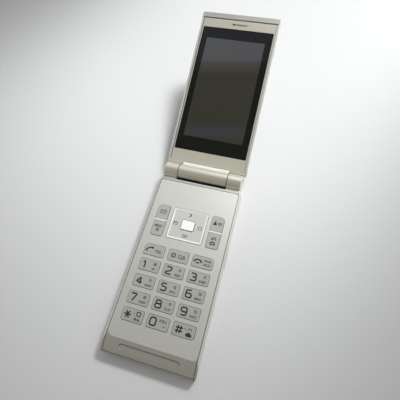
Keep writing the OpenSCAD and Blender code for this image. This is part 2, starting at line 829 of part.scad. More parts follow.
front_case();
rear_case();
keypad_panel();
divider_strips();
battery_cover();
knuckle_left();
knuckle_right();
hinge_unit();
hinge_pin();
dome_sheet();
main_board();
shield_can();
card_reader();
battery();
battery_contacts();
camera_module();
camera_window();
vibration_motor();
loudspeaker();
microphone();
antenna();
io_connector();
port_cover();
charge_contacts();
case_screws();
side_key();
rocker_plate();
direction_key();
select_key();
key_mail();
key_menu();
key_address();
key_camera();
key_call();
key_clear();
key_end();
key_1();
key_2();
key_3();
key_4();
key_5();
key_6();
key_7();
key_8();
key_9();
key_star();
key_0();
key_hash();
lid_frame();
lid_panel();
display_window();
lcd_module();
lid_cover();
hinge_barrel();
hinge_cam();
earpiece();
light_sensor();
lid_magnet();
lid_screws();
flex_cable();
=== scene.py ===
# %% [markdown]
# # A flip phone, lying open on its back
#
# The phone's construction is already packed as CAD: cases, keys, hinge and lid, each piece a
# node on a moving body. This notebook gives it its looks. It loads the CAD as a fixed frame,
# works out the few sizes that the looks need from the nodes' own boxes, and then adds what a
# CAD solid lacks: painted and brushed finishes, rounded edges, the bright trim and the prints
# on the keys, and last the table, the light and the camera of the photograph.

# %% Load the frame
import json
import math

import bmesh
import bpy
from mathutils import Matrix, Vector


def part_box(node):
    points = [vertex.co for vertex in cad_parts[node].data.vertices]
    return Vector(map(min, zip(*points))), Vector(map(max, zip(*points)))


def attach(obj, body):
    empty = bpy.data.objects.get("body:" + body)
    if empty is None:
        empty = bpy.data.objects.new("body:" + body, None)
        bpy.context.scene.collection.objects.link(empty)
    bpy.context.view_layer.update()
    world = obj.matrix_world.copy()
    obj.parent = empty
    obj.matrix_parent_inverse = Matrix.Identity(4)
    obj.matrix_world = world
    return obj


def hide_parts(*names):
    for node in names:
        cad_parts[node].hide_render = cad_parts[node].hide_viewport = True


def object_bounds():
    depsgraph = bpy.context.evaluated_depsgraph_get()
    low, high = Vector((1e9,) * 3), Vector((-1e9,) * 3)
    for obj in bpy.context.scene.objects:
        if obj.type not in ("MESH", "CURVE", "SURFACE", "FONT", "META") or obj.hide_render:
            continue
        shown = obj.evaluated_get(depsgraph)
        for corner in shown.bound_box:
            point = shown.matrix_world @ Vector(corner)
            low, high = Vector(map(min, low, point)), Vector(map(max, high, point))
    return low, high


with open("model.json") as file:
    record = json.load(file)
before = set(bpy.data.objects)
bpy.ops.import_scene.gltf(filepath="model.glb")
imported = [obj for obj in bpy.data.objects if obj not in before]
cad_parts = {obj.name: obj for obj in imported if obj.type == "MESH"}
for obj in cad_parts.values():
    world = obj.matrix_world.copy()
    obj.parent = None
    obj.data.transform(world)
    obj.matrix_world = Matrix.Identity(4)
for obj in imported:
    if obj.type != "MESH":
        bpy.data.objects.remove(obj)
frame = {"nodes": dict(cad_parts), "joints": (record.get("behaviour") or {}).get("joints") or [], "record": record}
nodes = frame["nodes"]
bodies = frame["record"]["behaviour"]["bodies"]
node_body = {node: body for body, members in bodies.items() for node in members}
node_slot = {s["node"]: s["material_slot"] for s in frame["record"]["subparts"]}
cad_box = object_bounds()
MM = 0.001

# %% [markdown]
# ## The lid's own directions
#
# The lid stands open at an angle, so its pieces are easier to describe in its own directions:
# u across, v from the hinge axis to its far end, and w out of its inner face. One matrix takes
# a point of the phone's frame there. Its angle and axis come from the hinge joint: the lid
# closes flat, so the angle that is left over from a half turn is how far it stands up now.

# %% Lid matrix
hinge = next(j for j in frame["joints"] if j["name"] == "lid_hinge")
hinge_at = Vector(hinge["pos_m"])
lid_rise = math.radians(180 - hinge["range_deg"][1])
TO_LID = (Matrix.Translation(hinge_at) @ Matrix.Rotation(lid_rise, 4, "X")).inverted()


def lid_box(node):
    """Lowest and highest corner of a lid node, in the lid's own directions."""
    points = [TO_LID @ v.co for v in nodes[node].data.vertices]
    low = Vector([min(p[i] for p in points) for i in range(3)])
    high = Vector([max(p[i] for p in points) for i in range(3)])
    return low, high


window_low, window_high = lid_box("display_window")
print("lid stands up by", round(math.degrees(lid_rise), 1), "degrees; glass",
      [round(c / MM, 2) for c in window_high - window_low], "mm")

# %% [markdown]
# ## Shader maths as expressions
#
# A material is a graph of nodes, and graphs are long to write. This small class wraps one
# output socket and overloads the arithmetic signs, so that a formula on values adds its Math
# nodes by itself. Colours go through Mix instead, since a Math node would turn them grey.

# %% Shader kit
class Val:
    """One output socket, with arithmetic that adds Math nodes."""

    def __init__(self, shader, socket):
        self.shader = shader
        self.socket = socket

    def math(self, operation, *others):
        return self.shader.maths(operation, self, *others)

    def __add__(self, other):
        return self.math("ADD", other)

    def __sub__(self, other):
        return self.math("SUBTRACT", other)

    def __rsub__(self, other):
        return self.shader.maths("SUBTRACT", other, self)

    def __mul__(self, other):
        return self.math("MULTIPLY", other)

    def __lt__(self, other):
        return self.math("LESS_THAN", other)

    def __abs__(self):
        return self.math("ABSOLUTE")

    def root(self):
        return self.math("SQRT")

    def or_more(self, other):
        return self.math("MAXIMUM", other)

    __radd__ = __add__
    __rmul__ = __mul__


class Shader:
    """A node tree under construction: its surface node, and one method for any other node."""

    def __init__(self, name, **constants):
        self.material = bpy.data.materials.new(name)
        self.material.use_nodes = True
        self.tree = self.material.node_tree
        self.surface = self.tree.nodes["Principled BSDF"]
        for socket, value in constants.items():
            self.set(self.surface, socket.replace("_", " "), value)

    def set(self, node, key, value):
        socket = node.inputs[key]
        if isinstance(value, Val):
            self.tree.links.new(value.socket, socket)
        elif isinstance(value, (tuple, list)) and socket.type == "RGBA" and len(value) == 3:
            socket.default_value = (*value, 1)
        else:
            socket.default_value = value

    def node(self, kind, settings=None, inputs=None, out=0):
        made = self.tree.nodes.new(kind)
        for key, value in (settings or {}).items():
            setattr(made, key, value)
        for key, value in (inputs or {}).items():
            self.set(made, key, value)
        return Val(self, made.outputs[out])

    def maths(self, operation, *values):
        return self.node("ShaderNodeMath", {"operation": operation}, dict(enumerate(values)))

    def feed(self, **inputs):
        for key, value in inputs.items():
            self.set(self.surface, key.replace("_", " "), value)

    def place(self, scale=(1, 1, 1)):
        """Object coordinates, scaled."""
        here = self.node("ShaderNodeTexCoord", out="Object")
        return self.node("ShaderNodeMapping", None, {"Vector": here, "Scale": scale})

    def lid_place(self):
        """Object coordinates in the lid's own directions: u, v and w, in millimetres."""
        here = self.node("ShaderNodeTexCoord", out="Object")
        own = self.node("ShaderNodeMapping", {"vector_type": "TEXTURE"},
                        {"Vector": here, "Location": hinge_at, "Rotation": (lid_rise, 0, 0),
                         "Scale": (MM,) * 3})
        return self.parts(own)

    def parts(self, vector):
        """The three numbers of a vector."""
        made = self.tree.nodes.new("ShaderNodeSeparateXYZ")
        self.set(made, "Vector", vector)
        return [Val(self, output) for output in made.outputs]

    def millimetres(self):
        """Object coordinates x, y and z, in millimetres."""
        return self.parts(self.place((1 / MM,) * 3))

    def noise(self, at, scale, detail=3, roughness=0.5):
        return self.node("ShaderNodeTexNoise", None,
                         {"Vector": at, "Scale": scale, "Detail": detail,
                          "Roughness": roughness})

    def spread(self, value, low, high):
        """A 0 to 1 value taken to low to high."""
        return value * (high - low) + low

    def ramp(self, value, low, high):
        """A smooth 0 to 1 step as a value goes from low to high."""
        return self.node("ShaderNodeMapRange", {"interpolation_type": "SMOOTHSTEP"},
                         {"Value": value, "From Min": low, "From Max": high})

    def within(self, value, low, high, soft):
        """1 between low and high, with a soft edge."""
        return self.ramp(value, low - soft, low + soft) * self.ramp(value, high + soft, high - soft)

    def facing(self, direction):
        """How far the surface faces a direction of the piece itself, from -1 to 1."""
        normal = self.node("ShaderNodeTexCoord", out="Normal")
        return self.node("ShaderNodeVectorMath", {"operation": "DOT_PRODUCT"},
                         {0: normal, 1: direction}, out="Value")

    def mix(self, factor, a, b):
        """A colour between two: a where the factor is 0, and b where it is 1."""
        return self.node("ShaderNodeMix", {"data_type": "RGBA"}, {0: factor, 6: a, 7: b}, out=2)

    def bands(self, value, stops):
        """Colours along a 0 to 1 value."""
        made = self.tree.nodes.new("ShaderNodeValToRGB")
        ramp = made.color_ramp
        while len(ramp.elements) < len(stops):
            ramp.elements.new(0.5)
        for element, (at, colour) in zip(ramp.elements, stops):
            element.position = at
            element.color = (*colour, 1)
        self.set(made, "Fac", value)
        return Val(self, made.outputs["Color"])

    def bump(self, height, strength, distance):
        return self.node("ShaderNodeBump", None,
                         {"Height": height, "Strength": strength, "Distance": distance})


def tone(colour, gain):
    """The colour, lighter or darker by a gain."""
    return tuple(min(1, c * gain) for c in colour)


print("shader kit ready")

# %% [markdown]
# ## Two families of finish
#
# Almost all surfaces of a phone are one of two kinds. A moulded or sprayed one has a fine
# grain, felt rather than seen, and is never quite even in tone. A brushed one has long fine
# scratches in one direction, which stretch its highlights across them. One function makes
# each kind, and the pieces differ in colour, gloss and scale. The brushed one may be given a
# mask, which lays a painted shade on its colour where a seam runs.

# %% Moulded and sprayed
GRAIN = 2500
CLOUD = 60


def plain_finish(name, colour, roughness, metallic=0.0, depth=2e-6, vary=0.04, **more):
    """Moulded or painted surface: a fine grain in the relief, and a faint unevenness in tone."""
    s = Shader(name, Metallic=metallic, **more)
    at = s.place()
    cloud = s.noise(at, CLOUD)
    fine = s.noise(at, GRAIN, 2)
    s.feed(Base_Color=s.mix(cloud, tone(colour, 1 - vary), tone(colour, 1 + vary)),
           Roughness=s.spread(fine, roughness - 0.04, roughness + 0.04),
           Normal=s.bump(fine, 0.4, depth))
    return s.material


print("grain", round(1 / GRAIN / MM, 2), "mm and clouds", round(1 / CLOUD / MM), "mm wide")

# %% Brushed
BRUSH_STRETCH = (40, 3000, 3000)


def brushed_finish(name, colour, roughness, metallic, seam=None):
    """Brushed or drawn metal: a noise that is long along one direction and fine across it."""
    s = Shader(name, Metallic=metallic)
    lines = s.noise(s.place(BRUSH_STRETCH), 1, 4, 0.6)
    cloud = s.noise(s.place(), 45)
    paint = s.mix(lines * 0.6 + cloud * 0.4, tone(colour, 0.93), tone(colour, 1.07))
    # Painted shade: the mask darkens the paint and its metal sheen where a seam runs.
    if seam:
        lit = 1 - seam(s)
        paint = s.mix(lit, (0, 0, 0), paint)
        s.feed(Metallic=lit * metallic)
    s.feed(Base_Color=paint,
           Roughness=s.spread(lines, roughness - 0.08, roughness + 0.1),
           Normal=s.bump(lines, 0.25, 4e-6))
    return s.material


print("brush lines", round(BRUSH_STRETCH[1] / BRUSH_STRETCH[0]), "times as long as wide")

# %% [markdown]
# ## Seams and gaps
#
# Each half of the phone is a tray with something laid in it, so a hair-thin seam runs all
# round, and there is a slot round every key, a recess in the chin, and a gap on each side of
# the barrel. The walls down there see hardly any light. They are thinner than a pixel of the
# picture, too thin for light alone to show them as the dark lines that the real ones are. So
# the paint of the walls is darkened too. A mask gives 1 on such walls, worked out from
# where a point is, and the shape under it stays what it is. All places are in millimetres. A
# seam is given by where it starts and ends, counted outwards, and how soft its edges are.

# %% Places of the seams
# Painted shade: the near black that the masks below lay on the walls of gaps, seams and slots.
GAP_SHADE = (0.02, 0.019, 0.016)
PANEL_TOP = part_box("keypad_panel")[1][2] / MM
KEY_GAP_DEPTH = (PANEL_TOP - 0.2, PANEL_TOP - 0.06)
SEAM_TOP = PANEL_TOP - 0.08
SEAM_X, SEAM_Y = [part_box("front_case")[1][i] / MM for i in range(2)]
CASE_SEAM = (-0.03, 0.27, 0.04)
LID_SEAM_V = 103.75
LID_SEAM_START = (8.5, 9)
LID_SEAM_W = window_high.z / MM - 0.12
LID_SEAM = (-0.02, 0.6, 0.03)
PLATE_EDGE = (SEAM_X - 0.3, SEAM_X + 0.1, 0.04)
PLATE_SHADE = (0.35, 0.9)
RIM_U = (SEAM_X + 0.1, SEAM_X + 0.25)
RIM_V = (104, 103)
print("case seam", round(SEAM_X, 2), "mm each side of the middle, up to", round(SEAM_TOP, 2))

# %% [markdown]
# The chin curves down in an arc about a line across the phone. Its recess is a long slot with
# round ends, sunk a little below that arc. Its edge gets a painted shade: a point is in it when
# it is nearly a radius away from the slot's middle line, and below the arc. The painted shade is
# darkest on the edge towards the keys.

# %% Recess and lip of the chin
RECESS_X = 14.53
RECESS_Y = -45.68
RECESS_R = 1.42
RECESS_EDGE = (RECESS_R - 0.5, RECESS_R - 0.1)
RECESS_REACH = 1.6
RECESS_SINK = (0.04, 0.12)
RECESS_RISE = (-0.6, 0.5)
RECESS_SHADE = (0.25, 0.75)
ARC_R = 23.3
ARC_Y = -38.154
ARC_Z = -14.746
LIP_Y = (-49.45, -49.55)
LIP_Z = 5.5
LIP_SHADE = 0.45


def chin_recess_shade(s, x, y, z):
    """Painted shade: up to 1 on the edge of the recess."""
    past = (abs(x) - RECESS_X).or_more(0)
    up = y - RECESS_Y
    edge = s.ramp((past * past + up * up).root(), *RECESS_EDGE)
    arc = (ARC_R * ARC_R - (y - ARC_Y) * (y - ARC_Y)).root() + ARC_Z
    near = (past < RECESS_REACH) * (up < RECESS_REACH)
    sunk = s.ramp(arc - z, *RECESS_SINK)
    return edge * sunk * near * s.spread(s.ramp(up, *RECESS_RISE), *RECESS_SHADE)


def chin_lip_shade(s, y, z):
    """Painted shade: nearly half on the narrow face where the chin meets the tray."""
    return s.ramp(y, *LIP_Y) * (z < LIP_Z) * LIP_SHADE


print("recess", 2 * (RECESS_X + RECESS_R), "mm long and", 2 * RECESS_R, "mm wide")

# %% [markdown]
# The painted shade of the base's seam lies just outside the front case, and that of the lid
# just outside its plate. On the lid the plate's own edge gets a painted shade as well, more so
# on the left, and the two bare rims of its frame get painted light, which makes them a little
# brighter than the rest.

# %% Masks of the seams
def case_seam_shade(s):
    """Painted shade: 1 on the walls of the seam round the front case, and in the chin's recess and lip."""
    x, y, z = s.millimetres()
    across = (abs(x) - SEAM_X).or_more(y - SEAM_Y)
    seam = s.within(across, *CASE_SEAM) * (z < SEAM_TOP)
    return seam.or_more(chin_recess_shade(s, x, y, z)).or_more(chin_lip_shade(s, y, z))


def lid_seam_shade(s):
    """Painted shade: 1 on the walls of the seam between the lid's frame and its plate."""
    u, v, w = s.lid_place()
    across = (abs(u) - SEAM_X).or_more(v - LID_SEAM_V)
    return s.within(across, *LID_SEAM) * (w < LID_SEAM_W) * s.ramp(v, *LID_SEAM_START)


def plate_edge_shade(s):
    """Painted shade: up to 1 on the two long edges of the lid's plate."""
    u, v, w = s.lid_place()
    edge = s.within(abs(u), *PLATE_EDGE) * s.ramp(v, *LID_SEAM_START)
    return edge * s.spread(u < 0, *PLATE_SHADE)


def lid_rim_light(s):
    """Painted light: 1 on the lid's narrow side rims, which the plate leaves bare."""
    u, v, w = s.lid_place()
    return s.ramp(abs(u), *RIM_U) * s.ramp(v, *RIM_V)


def panel_hole_shade(s):
    """Painted shade: 1 on the walls of the panel's openings, below its surface."""
    return 1 - s.ramp(s.millimetres()[2], *KEY_GAP_DEPTH)


# Four of these masks are painted shade, and the lid rim's mask is painted light.
print("masks: case seam, lid seam, plate edge, lid rim, panel holes")

# %% [markdown]
# ## Pearl paint
#
# The shells are injection-moulded and sprayed with a pearl paint: pale and satin, with a very
# fine sparkle, because its flakes lean a little this way and that. A cell pattern gives
# each flake its own tone and gloss, a cloud makes the tone drift, and a thin coat lies on top.

# %% Pearl paint
# Painted light: the lighter, less metallic pearl laid on the lid's bare rims.
RIM = (0.72, 0.715, 0.68)
RIM_METALLIC = 0.35
FLAKES = 9000


def pearl_finish(name, colour, roughness, metallic, gap, bright=None):
    """Sprayed pearl, with a painted shade in the gaps, and painted light where a second mask says so."""
    s = Shader(name, Coat_Weight=0.15, Coat_Roughness=0.12)
    lit = 1 - gap(s)
    at = s.place()
    cloud = s.noise(at, 50)
    flakes = s.node("ShaderNodeTexVoronoi", None, {"Vector": at, "Scale": FLAKES}, out="Color")
    glint = s.parts(flakes)[0]
    paint = s.mix(cloud * 0.7 + glint * 0.3, tone(colour, 0.965), tone(colour, 1.035))
    if bright:
        rim = bright(s)
        paint = s.mix(rim, paint, RIM)
        metallic = s.spread(rim, metallic, RIM_METALLIC)
    s.feed(Base_Color=s.mix(lit, GAP_SHADE, paint), Metallic=lit * metallic,
           Roughness=s.spread(glint, roughness - 0.05, roughness + 0.05),
           Normal=s.bump(s.noise(at, 2600, 2), 0.35, 3e-6))
    return s.material


print("pearl paint ready")

# %% [markdown]
# ## Barrel paint
#
# The barrel and the knuckles carry a smoother, more metallic paint of a warm champagne. The
# narrow neck that joins the barrel to the lid is plain pale paint. The barrel's end faces, in
# the gaps, and its side that is turned down to the base get a painted shade, nearly black.

# %% Barrel paint
NECK = (0.80, 0.79, 0.75)
NECK_V = (5.0, 5.3, 6.9, 7.05)
BARREL_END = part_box("hinge_barrel")[1][0] / MM
END_LIMIT = 16
END_TURN = (0.35, 0.8)
UNDERSIDE = (0, -0.9, -0.44)
UNDER_TURN = (0.45, 0.75)
HINGE_SHADE = 0.97


def barrel_finish(colour, roughness, metallic):
    """Satin metallic paint, with a painted shade where the hinge sees hardly any light."""
    s = Shader("satin barrel", Roughness=roughness)
    u, v, w = s.lid_place()
    low, rise, fall, high = NECK_V
    neck = s.ramp(v, low, rise) * s.ramp(v, high, fall) * (abs(u) < BARREL_END)
    fine = s.noise(s.place(), GRAIN, 2)
    x = s.millimetres()[0]
    # Painted shade on the end faces in the gaps and on the side turned down to the base.
    ends = s.ramp(abs(s.facing((1, 0, 0))), *END_TURN) * (abs(x) < END_LIMIT)
    under = s.ramp(s.facing(UNDERSIDE), *UNDER_TURN) * (abs(x) < BARREL_END)
    lit = 1 - ends.or_more(under) * HINGE_SHADE
    paint = s.mix(neck, s.mix(fine, tone(colour, 0.98), tone(colour, 1.02)), NECK)
    s.feed(Base_Color=s.mix(lit, (0, 0, 0), paint), Metallic=lit * (1 - neck) * metallic,
           Normal=s.bump(fine, 0.15, 1e-6))
    return s.material


print("barrel ends", round(BARREL_END, 2), "mm from the middle")

# %% [markdown]
# ## Key plastic, and the list of outer finishes
#
# The keys are a smoky clear plastic over a grey print, with a little of a metal's sheen. Their
# sides get a painted shade below the panel's surface, which draws the outline of each key. The
# lid's plate is thin brushed aluminium, anodised to a warm champagne.

# %% Outer finishes
PEARL = (0.66, 0.65, 0.60)
PANEL = (0.69, 0.685, 0.63)
PLATE = (0.60, 0.578, 0.485)
BARREL = (0.86, 0.825, 0.70)
KEY = (0.50, 0.49, 0.455)
RING = (0.67, 0.66, 0.61)


def key_finish(name, colour):
    """Smoky plastic; below the panel's surface the sides of a key see hardly any light, so they get a painted
    shade.
    """
    s = Shader(name, Metallic=0.22)
    at = s.place()
    lit = s.ramp(s.millimetres()[2], *KEY_GAP_DEPTH)
    fine = s.noise(at, GRAIN, 2)
    smoke = s.mix(s.noise(at, CLOUD), tone(colour, 0.97), tone(colour, 1.03))
    s.feed(Base_Color=s.mix(lit, GAP_SHADE, smoke),
           Roughness=s.spread(fine, 0.27, 0.35), Normal=s.bump(fine, 0.4, 2e-6))
    return s.material


finish = {
    "case_silver": pearl_finish("pearl paint", PEARL, 0.36, 0.75, case_seam_shade),
    "panel_silver": pearl_finish("panel paint", PANEL, 0.46, 0.52, panel_hole_shade),
    "strip_white": plain_finish("white strip", (0.93, 0.93, 0.92), 0.2, vary=0.015),
    "champagne_metal": brushed_finish("brushed champagne plate", PLATE, 0.40, 0.32, plate_edge_shade),
    "barrel_satin": barrel_finish(BARREL, 0.28, 0.70),
    "key_grey": key_finish("key plastic", KEY),
    "select_white": plain_finish("select key", (0.99, 0.99, 0.98), 0.15, vary=0.01,
                                 Coat_Weight=0.8),
}
print("outer finishes:", ", ".join(finish))

# %% [markdown]
# ## The display window
#
# The window is one sheet of glass, printed black round the edge. Behind the clear part lies
# the panel of the switched-off screen, whose polariser mirrors the room far more than the
# black print does. So a rectangle in the lid's own directions sets the two apart: inside it
# the surface is a dim mirror, outside it a black gloss with the 4% reflection of any glass.

# %% Window glass
SCREEN_U = (-18.95, 18.65)
SCREEN_V = (24.15, 90.35)
SCREEN_SOFT = 0.06
SCREEN_DIM = (0.225, 0.225, 0.225)
BORDER_BLACK = (0.0075, 0.0075, 0.0075)


def window_finish():
    """Black gloss round a dim mirror, which is the screen behind the glass."""
    s = Shader("window glass")
    u, v, w = s.lid_place()
    screen = s.within(u, *SCREEN_U, SCREEN_SOFT) * s.within(v, *SCREEN_V, SCREEN_SOFT)
    cloud = s.noise(s.place(), 30)
    border = s.mix(cloud, tone(BORDER_BLACK, 0.8), tone(BORDER_BLACK, 1.2))
    mirror = s.mix(cloud, tone(SCREEN_DIM, 0.95), tone(SCREEN_DIM, 1.05))
    s.feed(Base_Color=s.mix(screen, border, mirror), Metallic=screen * 0.95,
           Roughness=s.spread(screen, 0.04, 0.03) + cloud * 0.01)
    return s.material


print("screen", [round(high - low, 1) for low, high in (SCREEN_U, SCREEN_V)], "mm")

# %% [markdown]
# ## Finishes of what is inside
#
# These pieces hardly show, but each one still gets the surface of its real material: green
# solder mask with a hint of copper runs, nickel, rubber, gold contacts and film.

# %% Inner finishes
def board_finish():
    """Solder mask over copper runs: a cell pattern tints the green."""
    s = Shader("solder mask", Roughness=0.3)
    runs = s.node("ShaderNodeTexVoronoi", {"feature": "DISTANCE_TO_EDGE"},
                  {"Vector": s.place(), "Scale": 400})
    s.feed(Base_Color=s.mix(runs < 0.08, (0.02, 0.16, 0.07), (0.05, 0.28, 0.12)))
    return s.material


finish.update({
    "steel": brushed_finish("nickel plate", (0.55, 0.55, 0.54), 0.35, 0.9),
    "rubber_sheet": plain_finish("silicone sheet", (0.42, 0.40, 0.33), 0.7),
    "board_green": board_finish(),
    "battery_black": plain_finish("battery wrap", (0.03, 0.03, 0.035), 0.5),
    "gold": plain_finish("gold flash", (0.75, 0.52, 0.2), 0.3, metallic=0.9),
    "black_plastic": plain_finish("black plastic", (0.03, 0.03, 0.032), 0.55),
    "black_glass": window_finish(),
    "display_dark": plain_finish("display panel", (0.02, 0.02, 0.02), 0.2),
    "flex_amber": plain_finish("polyimide film", (0.5, 0.22, 0.04), 0.35),
})
special = {"camera_window": plain_finish("lens cover", (0.02, 0.02, 0.022), 0.08),
           "direction_key": key_finish("ring plastic", RING),
           "lid_frame": pearl_finish("lid rim paint", PEARL, 0.36, 0.7, lid_seam_shade, lid_rim_light)}
for node, thing in nodes.items():
    thing.data.materials.clear()
    thing.data.materials.append(special.get(node, finish[node_slot[node]]))
print("finishes:", len(finish) + len(special), "in all")

# %% [markdown]
# ## Rounded edges
#
# A CAD solid has knife-sharp edges, which catch no light, while every moulded edge on the
# real phone has a small radius with a highlight along it. Each visible node is copied, its
# loose triangles are merged into whole faces, and its sharp edges are bevelled. The copy then
# stands for the node. The radius is chosen by piece, in millimetres: a hair on the flat
# plates, which leaves their lines crisp, and more on the shells and keys, which are held.

# %% Softened copies
MERGE = 2e-6
FLAT, SHARP, CREASE = [math.radians(a) for a in (0.5, 25, 35)]


def softened(node, radius):
    """A copy of a CAD node with its sharp edges rounded, riding on the same body."""
    bm = bmesh.new()
    bm.from_mesh(nodes[node].data)
    bmesh.ops.remove_doubles(bm, verts=bm.verts, dist=MERGE)
    bmesh.ops.dissolve_limit(bm, angle_limit=FLAT, verts=bm.verts, edges=bm.edges)
    edges = [e for e in bm.edges if e.is_manifold and e.calc_face_angle(0) > SHARP]
    bmesh.ops.bevel(bm, geom=edges, offset=radius, offset_type="OFFSET", segments=3,
                    profile=0.5, affect="EDGES", clamp_overlap=True, material=-1)
    mesh = bpy.data.meshes.new(node + "_soft")
    bm.to_mesh(mesh)
    bm.free()
    mesh.shade_smooth()
    mesh.set_sharp_from_angle(angle=CREASE)
    mesh.materials.append(nodes[node].data.materials[0])
    piece = bpy.data.objects.new(node + "_soft", mesh)
    bpy.context.scene.collection.objects.link(piece)
    piece.modifiers.new("even shading", "WEIGHTED_NORMAL").keep_sharp = True
    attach(piece, node_body[node])
    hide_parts(node)
    return piece


keys = [n for n in nodes if n.startswith("key_")]
radii = {"front_case": 0.25, "rear_case": 0.2, "keypad_panel": 0.08, "divider_strips": 0.1,
         "battery_cover": 0.15, "knuckle_left": 0.12, "knuckle_right": 0.12,
         "hinge_barrel": 0.15, "lid_frame": 0.25, "lid_panel": 0.08, "display_window": 0.06,
         "lid_cover": 0.3, "port_cover": 0.12, "side_key": 0.15, "direction_key": 0.2,
         "select_key": 0.25, **{k: 0.18 for k in keys}}
pieces = {node: softened(node, r * MM) for node, r in radii.items()}
print("softened", len(pieces), "pieces, most faces:",
      max((len(p.data.polygons), n) for n, p in pieces.items()))

# %% [markdown]
# ## The trim of the direction key
#
# A narrow polished frame runs round the direction key, sloping down to the dished face. Its
# four sides lean inwards, so three of them catch the light of the room and the far one
# stays dark, which is what makes the key look framed. It starts as one flat rectangle
# whose corners are rounded by a vertex bevel. An inset with a depth then makes the slope, the
# face left in the middle is removed, and the frame is given a hair of thickness. Last, its
# corners and faces are put in order across the key, which makes every run list them alike.

# %% Direction key trim
TRIM_INSET = 0.1 * MM
TRIM_CORNER = 0.5 * MM
TRIM_LIFT = 0.01 * MM
TRIM_THICKNESS = 0.03 * MM
TRIM_STEPS = ((0.3, 0.0), (0.55, 0.14))
TOP_LAYER = 0.3 * MM
ORDER = Vector((1, 0.618, 0.1))


def add_to_scene(name, bm, materials, body):
    """A finished mesh becomes a piece that rides on a body."""
    mesh = bpy.data.meshes.new(name)
    bm.to_mesh(mesh)
    bm.free()
    for material in materials:
        mesh.materials.append(material)
    piece = bpy.data.objects.new(name, mesh)
    bpy.context.scene.collection.objects.link(piece)
    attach(piece, body)
    return piece


def top_box(node):
    """Lowest and highest corner of a node's top layer, without the flange hidden below it."""
    points = [v.co for v in nodes[node].data.vertices]
    top = max(p.z for p in points)
    points = [p for p in points if p.z > top - TOP_LAYER]
    return [[pick(p[i] for p in points) for i in range(3)] for pick in (min, max)]


def key_trim():
    """The polished frame, from one flat rectangle."""
    low, high = top_box("direction_key")
    bm = bmesh.new()
    bmesh.ops.create_grid(bm, x_segments=1, y_segments=1, size=0.5)
    size = [high[i] - low[i] - 2 * TRIM_INSET for i in range(2)]
    bmesh.ops.scale(bm, vec=(*size, 1), verts=bm.verts)
    middle = [(low[i] + high[i]) / 2 for i in range(2)]
    bmesh.ops.translate(bm, vec=(*middle, high[2] + TRIM_LIFT), verts=bm.verts)
    bmesh.ops.bevel(bm, geom=bm.verts[:], offset=TRIM_CORNER, offset_type="OFFSET", segments=4,
                    profile=0.5, affect="VERTICES", material=-1)
    inner = bm.faces[:]
    for width, drop in TRIM_STEPS:
        bmesh.ops.inset_region(bm, faces=inner, thickness=width * MM, depth=-drop * MM,
                               use_boundary=True, use_even_offset=True)
        inner = [max(bm.faces, key=lambda f: f.calc_area())]
    bmesh.ops.delete(bm, geom=inner, context="FACES_ONLY")
    bmesh.ops.solidify(bm, geom=bm.faces[:], thickness=TRIM_THICKNESS)
    bmesh.ops.recalc_face_normals(bm, faces=bm.faces[:])
    bm.verts.sort(key=lambda vert: vert.co.dot(ORDER))
    bm.faces.sort(key=lambda face: face.calc_center_median().dot(ORDER))
    return add_to_scene("direction_key_trim", bm, [polished], "direction_key")


polished = plain_finish("polished trim", (1.0, 1.0, 0.99), 0.16, metallic=0.2, vary=0.01,
                        Coat_Weight=0.6)
trim_piece = key_trim()
print("trim faces:", len(trim_piece.data.polygons))

# %% [markdown]
# ## Prints on the keys: the strokes
#
# The figures on the keys are drawn with one even line, squarish, with rounded corners. A font
# would give other shapes, so each figure is kept as its skeleton: a few points in a box one
# unit wide and one high. The plain signs are kept in the same way. A curve follows the
# points, and at each corner it takes a short bow, whose two handles point at the corner. The
# curve's round bevel, pressed flat, gives the ink.

